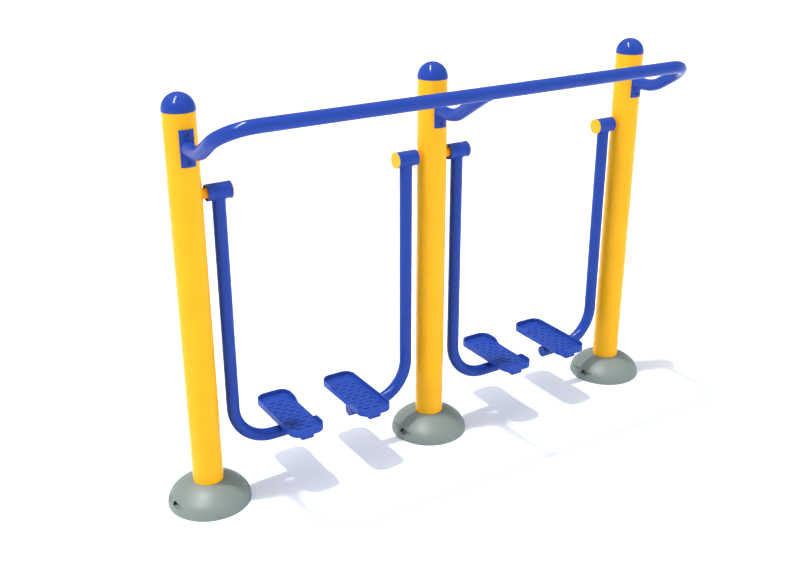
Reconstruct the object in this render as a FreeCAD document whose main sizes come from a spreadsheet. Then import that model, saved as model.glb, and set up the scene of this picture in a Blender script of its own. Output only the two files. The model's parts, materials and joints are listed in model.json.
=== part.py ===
import FreeCAD, Part

import math
import os
import re

import Sketcher
from FreeCAD import Placement, Rotation, Vector

# An outdoor air walker with two stations.
#
# Three round posts stand in a row along X, and the handrail runs in front of them, on the -Y side.
# The origin is on the ground under the middle post, and +Z is up.
# Each station lies between two posts and has two J-shaped legs.
# A leg hangs from a hub that turns on an axle in its post, and carries a pedal.

SIZES = [
    ("post_spacing", 992, "distance between neighbouring posts"),
    ("post_diameter", 114.3, "outside of the post tube"),
    ("post_wall", 3, "wall of the post tube"),
    ("post_top", 1485, "height of the tube's top above the ground"),
    ("cap_lip", 3, "straight lip under the post cap's dome"),
    ("cap_overhang", 0.8, "how far the cap stands out past the tube"),
    ("cap_wall", 3, "wall of the post cap"),
    ("cap_skirt", 20, "depth of the skirt that plugs the tube"),
    ("cap_gap", 0.3, "gap round the skirt inside the tube"),
    ("foot_diameter", 260, "base plate"),
    ("foot_thickness", 12, "base plate"),
    ("foot_chamfer", 2, "top edge of the base plate"),
    ("foot_vent", 50, "drain hole of the base plate, inside the post"),
    ("anchor_edge", 30, "distance of an anchor hole from the base plate's rim"),
    ("anchor_hole", 14, "diameter of an anchor hole"),
    ("gusset_reach", 40, "how far a gusset runs out from the post"),
    ("gusset_rise", 55, "how far a gusset runs up the post"),
    ("gusset_nose", 8, "square end of a gusset"),
    ("gusset_thickness", 8, "plate of a gusset"),
    ("cover_room", 21.5, "gap between the base plate's rim and the cover"),
    ("cover_rise", 92, "height of the base cover where it meets the post"),
    ("cover_side_radius", 70, "lower arc of the base cover's outline"),
    ("cover_side_angle", 45, "angle at which the lower arc meets the crown's arc"),
    ("cover_wall", 4, "wall of the base cover"),
    ("cover_gap", 0.5, "gap between the base cover and the post"),
    ("cover_flange", 8, "thickness of a half's screw flange"),
    ("cover_pocket_room", 5.25, "room round a screw's head in its pocket"),
    ("cover_pocket_inset", 14.5, "distance of a screw from the cover's outside"),
    ("cover_pocket_level", 34, "height of the screws above the ground"),
    ("cover_boss_wall", 3, "wall round a screw pocket"),
    ("cover_hole_gap", 0.5, "how much wider than the screw its hole is"),
    ("cover_screw", 5, "diameter of a cover screw"),
    ("cover_screw_tip", 2, "how far a cover screw stands out of its nut"),
    ("cover_screw_head", 8.5, "head diameter of a cover screw"),
    ("cover_screw_head_height", 5, "head height of a cover screw"),
    ("cover_screw_socket", 4, "width of its hexagon socket"),
    ("cover_nut_width", 8, "width across flats of the nut"),
    ("cover_nut_height", 4, "height of the nut"),
    ("rail_diameter", 48.3, "outside of the handrail tube"),
    ("rail_wall", 3.2, "wall of the handrail tube"),
    ("neck_drop", 115, "how far below the post's top the rail leaves its plates"),
    ("neck_straight", 54, "level run of a neck, from the post's face"),
    ("neck_bend_radius", 150, "bend of a neck, on the tube's centre line"),
    ("neck_angle", 31.3, "slope of a neck after its bend"),
    ("neck_run", 71.5, "sloping run of a neck up to the corner bend"),
    ("corner_bend_radius", 119, "bend from a neck into the rail"),
    ("rail_plate_margin", 0.85, "how far a saddle plate stands out past the tube on each side"),
    ("rail_plate_thickness", 5, "saddle plate"),
    ("rail_bolt_spacing", 95, "distance between a plate's two bolts"),
    ("rail_bolt_edge", 15, "distance of a bolt from the plate's end"),
    ("rail_bolt_gap", 1, "how much wider than the bolt its hole is"),
    ("rail_bolt", 8, "diameter of a rail bolt"),
    ("rail_bolt_length", 20, "shank of a rail bolt"),
    ("rail_bolt_head", 14, "head diameter of a rail bolt"),
    ("rail_bolt_head_height", 4.4, "head height of a rail bolt"),
    ("rail_bolt_socket", 5, "width of its hexagon socket"),
    ("spot_face_gap", 3, "how much wider than a rail bolt's head its flat seat is"),
    ("spot_face_depth", 0.8, "depth of that seat"),
    ("weld_nut_width", 13, "width across flats of a weld nut"),
    ("weld_nut_height", 6.5, "height of a weld nut"),
    ("hub_drop", 293, "how far below the post's top the hub axis lies"),
    ("hub_gap", 15.85, "gap between the post and the hub"),
    ("hub_wall", 4.15, "wall of the hub round a bearing"),
    ("hub_length", 88, "length of the hub tube"),
    ("hub_shoulder", 2.5, "height of the shoulders between the bearing seats"),
    ("bearing_diameter", 52, "outside of the bearing"),
    ("bearing_bore", 25, "bore of the bearing"),
    ("bearing_width", 15, "width of the bearing"),
    ("bearing_recess", 8, "depth of the inner bearing below the hub's end"),
    ("inner_ring_wall", 4.5, "wall of the bearing's inner ring"),
    ("outer_ring_wall", 3, "wall of the bearing's outer ring"),
    ("shield_thickness", 1, "shield of the bearing"),
    ("shield_recess", 0.6, "depth of the shield below the ring's face"),
    ("shield_gap", 0.08, "running gap between the shield and the inner ring"),
    ("spacer_wall", 3.5, "wall of the spacer sleeve"),
    ("axle_diameter", 38, "stub between the post and the hub"),
    ("axle_collar_step", 3, "height of the collar that the inner bearing stands on"),
    ("axle_collar_length", 2, "length of that collar"),
    ("axle_thread", 20, "threaded end of the axle"),
    ("axle_tip", 2.5, "how far the axle stands out of its nut"),
    ("axle_tip_gap", 2.5, "gap between the axle's tip and the hub cap"),
    ("axle_relief", 0.5, "how far the journal stops short of the washer"),
    ("axle_end_gap", 0.2, "gap between the axle's root and the far wall"),
    ("washer_diameter", 37, "axle washer"),
    ("washer_gap", 1, "how much wider than the thread the washer's bore is"),
    ("washer_thickness", 3, "axle washer"),
    ("axle_nut_width", 30, "width across flats of the axle nut"),
    ("axle_nut_height", 10, "height of the axle nut"),
    ("hub_cap_overhang", 1.35, "how far the hub cap stands out past the hub"),
    ("hub_cap_thickness", 3, "disc of the hub cap"),
    ("hub_cap_edge", 1.2, "rounding of the disc's edge"),
    ("hub_cap_skirt", 10, "depth of the skirt that plugs the hub"),
    ("hub_cap_wall", 2.5, "wall of that skirt"),
    ("hub_cap_gap", 0.1, "gap round that skirt"),
    ("leg_diameter", 48.3, "outside of the leg tube"),
    ("leg_wall", 3.2, "wall of the leg tube"),
    ("leg_bend_radius", 155, "bend of the leg, on the tube's centre line"),
    ("leg_foot_level", 196.5, "height of the leg's level run"),
    ("leg_overrun", 38, "how far the closed end lies beyond the pedal's middle"),
    ("leg_end_wall", 3, "disc that closes the end"),
    ("bracket_width", 50, "pedal bracket, a channel"),
    ("bracket_inset", 24, "how far the bracket stops short of the pedal's ends"),
    ("bracket_depth", 27, "pedal bracket"),
    ("bracket_wall", 3, "plate of the pedal bracket"),
    ("bracket_fold", 4, "outer radius of the bracket's folds"),
    ("bracket_bite", 1, "how far the bracket's saddle fits over the leg"),
    ("pedal_reach", 232, "distance of the pedal's middle from the leg's upright"),
    ("pedal_shift", 4, "how far the pedal's middle lies behind the leg"),
    ("pedal_length", 348, "pedal"),
    ("pedal_width", 140, "pedal"),
    ("pedal_rise", 27.5, "height of the pedal's rim"),
    ("pedal_corner", 42, "corner radius of the pedal"),
    ("pedal_wall", 5, "rim of the pedal"),
    ("pedal_floor", 4, "floor of the pedal"),
    ("pedal_rib_depth", 3.5, "depth of the ribs under the floor"),
    ("pedal_rib_width", 5, "thickness of those ribs"),
    ("pedal_rib_inset", 6, "distance of a long rib from the bracket's side"),
    ("pedal_rib_margin", 58, "distance of the outer cross ribs from the pedal's ends"),
    ("pedal_cove", 5, "rounding between floor and rim"),
    ("rim_round", 2, "rounding of the rim's outer edge"),
    ("dip_length", 130, "low stretch of the rim on the inner side"),
    ("dip_angle", 35.4, "slope down to it"),
    ("dip_round", 16, "rounding where a slope starts and ends"),
    ("dip_level", 9, "height of the low stretch"),
    ("cleat_length", 25, "anti-slip cleat"),
    ("cleat_width", 7, "anti-slip cleat"),
    ("cleat_height", 1.6, "anti-slip cleat"),
    ("cleat_side_gap", 12.5, "distance of the outer cleats from the rim"),
    ("cleat_end_gap", 50, "mean distance of the end rows of cleats from the rim"),
    ("pedal_bolt", 8, "diameter of a pedal bolt"),
    ("pedal_bolt_gap", 0.6, "how much wider than the bolt its hole is"),
    ("pedal_bolt_spacing", 200, "distance between a pedal's two bolts"),
    ("pedal_bolt_grip", 6.5, "how deep a bolt goes into the pedal"),
    ("pedal_bolt_width", 13, "width across flats of its head"),
    ("pedal_bolt_head", 5.3, "height of its head"),
    ("pedal_boss_wall", 6, "wall of the boss that takes the bolt"),
]

POSTS = {"left": -1, "middle": 0, "right": 1}

# Each leg: its post, and the side of the post that it stands on.
LEGS = {
    "station_1_left": ("left", 1),
    "station_1_right": ("middle", -1),
    "station_2_left": ("middle", 1),
    "station_2_right": ("right", -1),
}

CLEAT_ROWS = 11
CROSS_RIBS = 5

# Sizes that follow from those above, so that pieces which fit together go on fitting.
FITTED = {
    "anchor_circle": "foot_diameter - 2 * anchor_edge",
    "cover_radius": "foot_diameter / 2 + cover_room + cover_wall",
    "cover_pocket_radius": "cover_screw_head / 2 + cover_pocket_room",
    "cover_pocket_offset": "cover_radius - cover_pocket_inset",
    "cover_hole": "cover_screw + cover_hole_gap",
    "cover_screw_length": "2 * cover_flange + cover_nut_height + cover_screw_tip",
    "neck_level": "post_top - neck_drop",
    "rail_plate_width": "rail_diameter + 2 * rail_plate_margin",
    "rail_plate_length": "rail_bolt_spacing + 2 * rail_bolt_edge",
    "rail_bolt_hole": "rail_bolt + rail_bolt_gap",
    "spot_face": "rail_bolt_head + spot_face_gap",
    "hub_level": "post_top - hub_drop",
    "hub_offset": "post_diameter / 2 + hub_gap + hub_length / 2",
    "hub_diameter": "bearing_diameter + 2 * hub_wall",
    "hub_bore": "bearing_diameter - 2 * hub_shoulder",
    "nut_recess": "axle_thread_length + axle_tip_gap",
    "bearing_spacing": "hub_length - bearing_recess - nut_recess - 2 * bearing_width",
    "inner_ring_diameter": "bearing_bore + 2 * inner_ring_wall",
    "outer_ring_bore": "bearing_diameter - 2 * outer_ring_wall",
    "spacer_diameter": "bearing_bore + 2 * spacer_wall",
    "axle_collar_diameter": "bearing_bore + 2 * axle_collar_step",
    "axle_thread_length": "washer_thickness + axle_nut_height + axle_tip",
    "washer_bore": "axle_thread + washer_gap",
    "hub_cap_diameter": "hub_diameter + 2 * hub_cap_overhang",
    "pedal_offset": "hub_offset + pedal_reach",
    "leg_end": "pedal_offset + leg_overrun",
    "bracket_length": "pedal_length - 2 * bracket_inset",
    "pedal_rib_offset": "bracket_width / 2 - pedal_rib_inset",
    "pedal_rib_pitch": f"(pedal_length - 2 * pedal_rib_margin) / {CROSS_RIBS - 1}",
    "cleat_column_pitch": "(pedal_width - 2 * (pedal_wall + cleat_side_gap) - cleat_length) / 2",
    "cleat_row_pitch": f"(pedal_length - 2 * (pedal_wall + cleat_end_gap) - cleat_width) / {CLEAT_ROWS - 1}",
    "pedal_bolt_hole": "pedal_bolt + pedal_bolt_gap",
    "pedal_boss": "pedal_bolt + 2 * pedal_boss_wall",
}

FRONT = Rotation(Vector(1, 0, 0), 90)
REAR = Rotation(Vector(1, 0, 0), -90)
UPSIDE_DOWN = Rotation(Vector(1, 0, 0), 180)

doc = FreeCAD.newDocument("air_walker")
sheet = doc.addObject("Spreadsheet::Sheet", "sizes")
names = {name for name, number, meaning in SIZES}
parts = {}


def fill_sheet():
    for row, (name, number, meaning) in enumerate(SIZES, start=1):
        sheet.set(f"A{row}", name)
        sheet.set(f"B{row}", str(number))
        sheet.set(f"C{row}", meaning)
        sheet.setAlias(f"B{row}", name)
    doc.recompute()


def bound(expression):
    """The expression with each size named as the sheet has it, and each fitted size written out."""
    def refer(match):
        word = match.group()
        if word in FITTED:
            return f"({bound(FITTED[word])})"
        return "sizes." + word if word in names else word
    return re.sub(r"[a-z_]+", refer, expression)


def value(expression):
    """What an expression comes to, in millimetres or degrees."""
    return float(sheet.evalExpression(bound(expression)))


# Sketches


def new_sketch(body, name, role, offset="0"):
    """A sketch on one of the body's own origin planes, moved along the plane's normal."""
    plane = next(item for item in body.Origin.OriginFeatures if item.Role == role)
    sketch = body.newObject("Sketcher::SketchObject", name)
    sketch.AttachmentSupport = (plane, [""])
    sketch.MapMode = "FlatFace"
    sketch.setExpression("AttachmentOffset.Base.z", bound(offset))
    return sketch


def bind(sketch, constraint, expression):
    number = sketch.addConstraint(constraint)
    sketch.setExpression(f"Constraints[{number}]", bound(expression))


def pin(sketch, shape, point, x, y):
    """Hold a point of the sketch at a place given by two expressions."""
    if x == "0":
        sketch.addConstraint(Sketcher.Constraint("PointOnObject", shape, point, -2))
    else:
        bind(sketch, Sketcher.Constraint("DistanceX", -1, 1, shape, point, value(x)), x)
    if y == "0":
        sketch.addConstraint(Sketcher.Constraint("PointOnObject", shape, point, -1))
    else:
        bind(sketch, Sketcher.Constraint("DistanceY", -1, 1, shape, point, value(y)), y)


def circle(sketch, x, y, radius):
    centre = Vector(value(x), value(y), 0)
    shape = sketch.addGeometry(Part.Circle(centre, Vector(0, 0, 1), value(radius)), False)
    pin(sketch, shape, 3, x, y)
    bind(sketch, Sketcher.Constraint("Radius", shape, value(radius)), radius)


def arc_centre(start, end, radius):
    """Centre of the anticlockwise arc, under a half circle, from start to end."""
    chord = end - start
    height = math.sqrt(radius ** 2 - (chord.Length / 2) ** 2)
    normal = Vector(-chord.y, chord.x, 0).normalize()
    return (start + end) * 0.5 + normal * height


def outline(sketch, corners, closed=True):
    """Lines and arcs through corners, each bound to the sheet.

    A corner is (x, y), reached by a line, or (x, y, radius, turn), reached by an arc of that radius
    which turns left or right. In a closed outline the first corner is reached from the last.
    """
    count = len(corners)
    places = [Vector(value(corner[0]), value(corner[1]), 0) for corner in corners]
    ends = []
    first = 0 if closed else 1
    for index in range(first, count):
        start = places[index - 1]
        end = places[index]
        if len(corners[index]) == 2:
            shape = sketch.addGeometry(Part.LineSegment(start, end), False)
            ends.append((shape, 1, 2))
            continue
        radius, turn = corners[index][2:]
        if turn == "right":
            start, end = end, start
        centre = arc_centre(start, end, value(radius))
        angles = [math.atan2(place.y - centre.y, place.x - centre.x) for place in (start, end)]
        if angles[1] < angles[0]:
            angles[1] += 2 * math.pi
        whole = Part.Circle(centre, Vector(0, 0, 1), value(radius))
        shape = sketch.addGeometry(Part.ArcOfCircle(whole, angles[0], angles[1]), False)
        bind(sketch, Sketcher.Constraint("Radius", shape, value(radius)), radius)
        ends.append((shape, 2, 1) if turn == "right" else (shape, 1, 2))
    for index, (shape, start, end) in enumerate(ends):
        pin(sketch, shape, end, *corners[first + index][:2])
        if index + 1 < len(ends):
            following, its_start, its_end = ends[index + 1]
        elif closed:
            following, its_start, its_end = ends[0]
        else:
            continue
        sketch.addConstraint(Sketcher.Constraint("Coincident", shape, end, following, its_start))
    if not closed:
        pin(sketch, ends[0][0], ends[0][1], *corners[0][:2])


def rectangle(sketch, x, y, width, height):
    """A rectangle about (x, y)."""
    left = f"{x} - ({width}) / 2"
    right = f"{x} + ({width}) / 2"
    low = f"{y} - ({height}) / 2"
    high = f"{y} + ({height}) / 2"
    outline(sketch, [(left, low), (right, low), (right, high), (left, high)])


def rounded_rectangle(sketch, width, length, corner):
    """A rectangle about the origin with round corners."""
    x = f"({width}) / 2"
    y = f"({length}) / 2"
    outline(sketch, [
        (f"{x} - ({corner})", f"-({y})"),
        (x, f"-({y}) + ({corner})", corner, "left"),
        (x, f"{y} - ({corner})"),
        (f"{x} - ({corner})", y, corner, "left"),
        (f"-({x}) + ({corner})", y),
        (f"-({x})", f"{y} - ({corner})", corner, "left"),
        (f"-({x})", f"-({y}) + ({corner})"),
        (f"-({x}) + ({corner})", f"-({y})", corner, "left"),
    ])


def slot(sketch, x, y, length, width):
    """A round-ended bar about (x, y), along X."""
    near = f"{x} - ({length} - {width}) / 2"
    far = f"{x} + ({length} - {width}) / 2"
    low = f"{y} - {width} / 2"
    high = f"{y} + {width} / 2"
    tip_left = f"{x} - {length} / 2"
    tip_right = f"{x} + {length} / 2"
    radius = f"{width} / 2"
    outline(sketch, [
        (near, low, radius, "left"),
        (far, low),
        (tip_right, y, radius, "left"),
        (far, high, radius, "left"),
        (near, high),
        (tip_left, y, radius, "left"),
    ])


def hexagon(sketch, width):
    """A hexagon about the origin, given its width across flats."""
    point = f"{width} / sqrt(3)"
    shoulder = f"{width} / sqrt(12)"
    half = f"{width} / 2"
    outline(sketch, [
        (point, "0"), (shoulder, half), (f"-({shoulder})", half),
        (f"-({point})", "0"), (f"-({shoulder})", f"-({half})"), (shoulder, f"-({half})"),
    ])


# Features


def new_body(name):
    return doc.addObject("PartDesign::Body", name)


def add_feature(body, kind, sketch, length=None, reverse=False, both=False):
    feature = body.newObject("PartDesign::" + kind, sketch.Name + "_" + kind.lower())
    feature.Profile = sketch
    feature.Reversed = reverse
    if length is not None:
        feature.setExpression("Length", bound(length))
        feature.Midplane = both
    sketch.Visibility = False
    return feature


def pad(body, sketch, length, reverse=False, both=False):
    """Grow the sketch along its normal, or to both sides of it."""
    feature = add_feature(body, "Pad", sketch, length, reverse, both)
    doc.recompute()
    return feature


def pocket(body, sketch, length, reverse=False, both=False):
    """Cut the sketch against its normal, or to both sides of it, and see that it did cut."""
    before = body.Shape.Volume
    feature = add_feature(body, "Pocket", sketch, length, reverse, both)
    doc.recompute()
    if body.Shape.Volume >= before:
        raise RuntimeError(f"{feature.Name} cuts nothing from {body.Label}")
    return feature


def revolve(body, sketch, axis, angle="360", reverse=False):
    """Turn the sketch about its own H_Axis or V_Axis."""
    feature = add_feature(body, "Revolution", sketch, reverse=reverse)
    feature.ReferenceAxis = (sketch, [axis])
    feature.setExpression("Angle", angle)
    doc.recompute()
    return feature


def groove(body, sketch, axis, angle="360"):
    """Cut the sketch away as it turns about its own axis, and see that it did cut."""
    before = body.Shape.Volume
    feature = add_feature(body, "Groove", sketch)
    feature.ReferenceAxis = (sketch, [axis])
    feature.setExpression("Angle", angle)
    doc.recompute()
    if body.Shape.Volume >= before:
        raise RuntimeError(f"{feature.Name} cuts nothing from {body.Label}")
    return feature


def pipe(body, section, path):
    """Draw the section along every edge of the path."""
    doc.recompute()
    feature = body.newObject("PartDesign::AdditivePipe", path.Name + "_pipe")
    feature.Profile = section
    feature.Spine = (path, [f"Edge{number + 1}" for number in range(path.GeometryCount)])
    section.Visibility = False
    path.Visibility = False
    doc.recompute()
    return feature


def tube_section(body, role, offset, x, y, diameter, wall):
    section = new_sketch(body, "section", role, offset)
    circle(section, x, y, f"{diameter} / 2")
    circle(section, x, y, f"{diameter} / 2 - {wall}")
    return section


def dress(body, kind, size, chosen):
    """Fillet or chamfer the edges of the body's last feature that the test chooses."""
    base = body.Tip
    edges = [f"Edge{number}" for number, edge in enumerate(base.Shape.Edges, start=1) if chosen(edge)]
    if not edges:
        raise RuntimeError(f"no edge of {body.Label} to {kind.lower()}")
    feature = body.newObject("PartDesign::" + kind, kind.lower())
    feature.Base = (base, edges)
    feature.setExpression("Radius" if kind == "Fillet" else "Size", bound(size))
    doc.recompute()
    return feature


def edge_at_level(level):
    """A test for edges that lie flat at a height."""
    height = value(level)
    return lambda edge: abs(edge.BoundBox.ZMin - height) < 1e-4 and abs(edge.BoundBox.ZMax - height) < 1e-4


def repeat(body, feature, role, length, count):
    """Repeat a feature along an axis of the body's origin."""
    axis = next(item for item in body.Origin.OriginFeatures if item.Role == role)
    pattern = body.newObject("PartDesign::LinearPattern", feature.Name + "_row")
    pattern.Originals = [feature]
    pattern.Direction = (axis, [""])
    pattern.setExpression("Length", bound(length))
    pattern.Occurrences = count
    body.Tip = pattern
    doc.recompute()
    return pattern


def repeat_round(body, feature, count):
    """Repeat a feature about the body's Z axis."""
    axis = next(item for item in body.Origin.OriginFeatures if item.Role == "Z_Axis")
    pattern = body.newObject("PartDesign::PolarPattern", feature.Name + "_ring")
    pattern.Originals = [feature]
    pattern.Axis = (axis, [""])
    pattern.Occurrences = count
    body.Tip = pattern
    doc.recompute()
    return pattern


# Sub-parts


def put(item, name, x="0", y="0", z="0", rotation=None):
    """Label a sub-part and give it its place."""
    item.Label = name
    item.Placement = Placement(Vector(), rotation or Rotation())
    item.setExpression("Placement.Base.x", bound(x))
    item.setExpression("Placement.Base.y", bound(y))
    item.setExpression("Placement.Base.z", bound(z))
    parts[name] = item


def put_group(name, pattern_body, places):
    """Label a sub-part made of like pieces, each at (x, y, z, rotation)."""
    links = []
    for x, y, z, rotation in places:
        link = doc.addObject("App::Link", name + "_piece")
        link.LinkedObject = pattern_body
        link.Placement = Placement(Vector(), rotation)
        link.setExpression("Placement.Base.x", bound(x))
        link.setExpression("Placement.Base.y", bound(y))
        link.setExpression("Placement.Base.z", bound(z))
        links.append(link)
    group = doc.addObject("Part::Compound", name)
    group.Links = links
    put(group, name)


def post_x(post):
    return f"{POSTS[post]} * post_spacing"


def from_post(post, side, distance):
    """X of a place at a distance from a post's axis, on one side of it."""
    return f"{post_x(post)} + {side} * ({distance})"


def facing(side):
    """Rotation of a piece made for the +X side of a post."""
    return Rotation() if side > 0 else Rotation(Vector(0, 0, 1), 180)


# Posts and their feet


def make_post(post):
    body = new_body(post + "_post")
    ring = new_sketch(body, "tube", "XY_Plane")
    circle(ring, "0", "0", "post_diameter / 2")
    circle(ring, "0", "0", "post_diameter / 2 - post_wall")
    pad(body, ring, "post_top - foot_thickness")
    for side in sorted(side for its_post, side in LEGS.values() if its_post == post):
        axle_hole = new_sketch(body, "axle_hole", "YZ_Plane")
        circle(axle_hole, "0", "hub_level - foot_thickness", "axle_diameter / 2")
        pocket(body, axle_hole, "post_diameter", reverse=side > 0)
    bolt_holes = new_sketch(body, "bolt_holes", "XZ_Plane")
    for end in (-1, 1):
        level = f"neck_level - foot_thickness + {end} * rail_bolt_spacing / 2"
        circle(bolt_holes, "0", level, "rail_bolt_hole / 2")
    pocket(body, bolt_holes, "post_diameter", reverse=True)
    put(body, post + "_post", post_x(post), "0", "foot_thickness")


def make_post_cap(post):
    body = new_body(post + "_post_cap")
    profile = new_sketch(body, "profile", "XZ_Plane")
    outer = "(post_diameter / 2 + cap_overhang)"
    inner = f"({outer} - cap_wall)"
    skirt_outer = "(post_diameter / 2 - post_wall - cap_gap)"
    skirt_inner = f"({skirt_outer} - cap_wall)"
    outline(profile, [
        (skirt_inner, "-cap_skirt"),
        (skirt_outer, "-cap_skirt"),
        (skirt_outer, "0"),
        (outer, "0"),
        (outer, "cap_lip"),
        ("0", f"cap_lip + {outer}", outer, "left"),
        ("0", f"cap_lip + {inner}"),
        (inner, "cap_lip", inner, "right"),
        (skirt_inner, "cap_lip"),
    ])
    revolve(body, profile, "V_Axis")
    put(body, post + "_post_cap", post_x(post), "0", "post_top")


def make_base_plate(post):
    body = new_body(post + "_base_plate")
    plate = new_sketch(body, "plate", "XY_Plane")
    circle(plate, "0", "0", "foot_diameter / 2")
    circle(plate, "0", "0", "foot_vent / 2")
    pad(body, plate, "foot_thickness")
    hole = new_sketch(body, "anchor_hole", "XY_Plane", "foot_thickness")
    circle(hole, "anchor_circle / sqrt(8)", "anchor_circle / sqrt(8)", "anchor_hole / 2")
    repeat_round(body, pocket(body, hole, "foot_thickness"), 4)
    rim = value("foot_diameter / 2")
    top = edge_at_level("foot_thickness")
    dress(body, "Chamfer", "foot_chamfer", lambda edge: top(edge) and abs(edge.BoundBox.XMax - rim) < 1e-4)
    put(body, post + "_base_plate", post_x(post))


def make_gussets():
    body = new_body("gusset_pattern")
    plate = new_sketch(body, "plate", "XZ_Plane")
    outline(plate, [
        ("post_diameter / 2", "foot_thickness"),
        ("post_diameter / 2 + gusset_reach", "foot_thickness"),
        ("post_diameter / 2 + gusset_reach", "foot_thickness + gusset_nose"),
        ("post_diameter / 2 + gusset_nose", "foot_thickness + gusset_rise"),
        ("post_diameter / 2", "foot_thickness + gusset_rise"),
    ])
    pad(body, plate, "gusset_thickness", both=True)
    quarter_turns = [Rotation(Vector(0, 0, 1), 90 * turn) for turn in range(4)]
    places = [(post_x(post), "0", "0", turn) for post in POSTS for turn in quarter_turns]
    put_group("base_gussets", body, places)


def cover_corners(offset):
    """Outline of the base cover from the ground to the post, moved inwards by an offset.

    The side's arc meets the ground square on, and the crown's arc carries on from it without a kink.
    """
    side = f"(cover_side_radius - {offset})"
    centre = "(cover_radius - cover_side_radius)"
    across = "cos(cover_side_angle)"
    along = "sin(cover_side_angle)"
    opening = "(post_diameter / 2 + cover_gap)"
    rise = f"(cover_rise - {offset})"
    reach = f"(({opening} - {centre}) * {across} + {rise} * {along})"
    crown = f"({side} + (({opening} - {centre})^2 + {rise}^2 - {side}^2) / (2 * ({side} - {reach})))"
    return [
        (f"{centre} + {side}", "0"),
        (f"{centre} + {side} * {across}", f"{side} * {along}", side, "left"),
        (opening, rise, crown, "left"),
    ]


def backwards(corners):
    """The same open run of corners from its other end, joined to what came before by a line."""
    result = [corners[-1][:2]]
    for index in range(len(corners) - 1, 0, -1):
        start = corners[index - 1][:2]
        bend = corners[index][2:]
        result.append((*start, bend[0], "right") if bend else start)
    return result


def make_base_cover(post, end):
    name = f"{post}_{end}_base_cover"
    body = new_body(name)
    wall = new_sketch(body, "wall", "XZ_Plane")
    outline(wall, cover_corners("0") + backwards(cover_corners("cover_wall")))
    revolve(body, wall, "V_Axis", "180", reverse=True)
    bosses = new_sketch(body, "bosses", "XZ_Plane")
    for side in (-1, 1):
        place = f"{side} * cover_pocket_offset"
        circle(bosses, place, "cover_pocket_level", "cover_pocket_radius + cover_boss_wall")
    pad(body, bosses, "cover_radius")
    beyond = new_sketch(body, "beyond", "XZ_Plane")
    outline(beyond, cover_corners("0") + [
        ("post_diameter / 2 + cover_gap", "2 * cover_radius"),
        ("2 * cover_radius", "2 * cover_radius"),
        ("2 * cover_radius", "0"),
    ])
    groove(body, beyond, "V_Axis")
    pockets = new_sketch(body, "pockets", "XZ_Plane", "cover_flange")
    holes = new_sketch(body, "holes", "XZ_Plane")
    for side in (-1, 1):
        place = f"{side} * cover_pocket_offset"
        circle(pockets, place, "cover_pocket_level", "cover_pocket_radius")
        circle(holes, place, "cover_pocket_level", "cover_hole / 2")
    pocket(body, pockets, "cover_radius", reverse=True)
    pocket(body, holes, "2 * cover_flange", reverse=True)
    put(body, name, post_x(post), rotation=facing(1 if end == "front" else -1))


def make_cover_screws():
    screw = new_body("cover_screw_pattern")
    profile = new_sketch(screw, "profile", "XZ_Plane")
    outline(profile, [
        ("0", "-cover_screw_length"),
        ("cover_screw / 2", "-cover_screw_length"),
        ("cover_screw / 2", "0"),
        ("cover_screw_head / 2", "0"),
        ("cover_screw_head / 2", "cover_screw_head_height"),
        ("0", "cover_screw_head_height"),
    ])
    revolve(screw, profile, "V_Axis")
    socket = new_sketch(screw, "socket", "XY_Plane", "cover_screw_head_height")
    hexagon(socket, "cover_screw_socket")
    pocket(screw, socket, "cover_screw_head_height / 2")
    nut = new_body("cover_nut_pattern")
    flats = new_sketch(nut, "flats", "XY_Plane")
    hexagon(flats, "cover_nut_width")
    circle(flats, "0", "0", "cover_screw / 2")
    pad(nut, flats, "cover_nut_height")
    screws = []
    nuts = []
    for post in POSTS:
        for side in (-1, 1):
            place = from_post(post, side, "cover_pocket_offset")
            screws.append((place, "-cover_flange", "cover_pocket_level", FRONT))
            nuts.append((place, "cover_flange", "cover_pocket_level", REAR))
    put_group("base_cover_screws", screw, screws)
    put_group("base_cover_nuts", nut, nuts)


# Handrail

RAIL_REACH = (
    "(post_diameter / 2 + neck_straight + neck_bend_radius * sin(neck_angle)"
    " + (neck_run + corner_bend_radius) * cos(neck_angle))"
)
RAIL_RISE = (
    "(neck_bend_radius * (1 - cos(neck_angle)) + (neck_run + corner_bend_radius) * sin(neck_angle))"
)


def neck_edges(start, side):
    """Centre line of one end of the rail, from the post's face to the start of the straight run."""
    straight = value("neck_straight")
    bend = value("neck_bend_radius")
    angle = math.radians(value("neck_angle"))
    corner = value("corner_bend_radius")
    slope = Vector(0, -math.cos(angle), math.sin(angle))
    inward = Vector(side, 0, 0)

    def on_bend(turn):
        return start + Vector(0, -straight - bend * math.sin(turn), bend * (1 - math.cos(turn)))

    def on_corner(turn):
        return foot + inward * (corner * (1 - math.cos(turn))) + slope * (corner * math.sin(turn))

    foot = on_bend(angle) + slope * value("neck_run")
    return [
        Part.LineSegment(start, on_bend(0)).toShape(),
        Part.Arc(on_bend(0), on_bend(angle / 2), on_bend(angle)).toShape(),
        Part.LineSegment(on_bend(angle), foot).toShape(),
        Part.Arc(foot, on_corner(math.pi / 4), on_corner(math.pi / 2)).toShape(),
    ]


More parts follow.
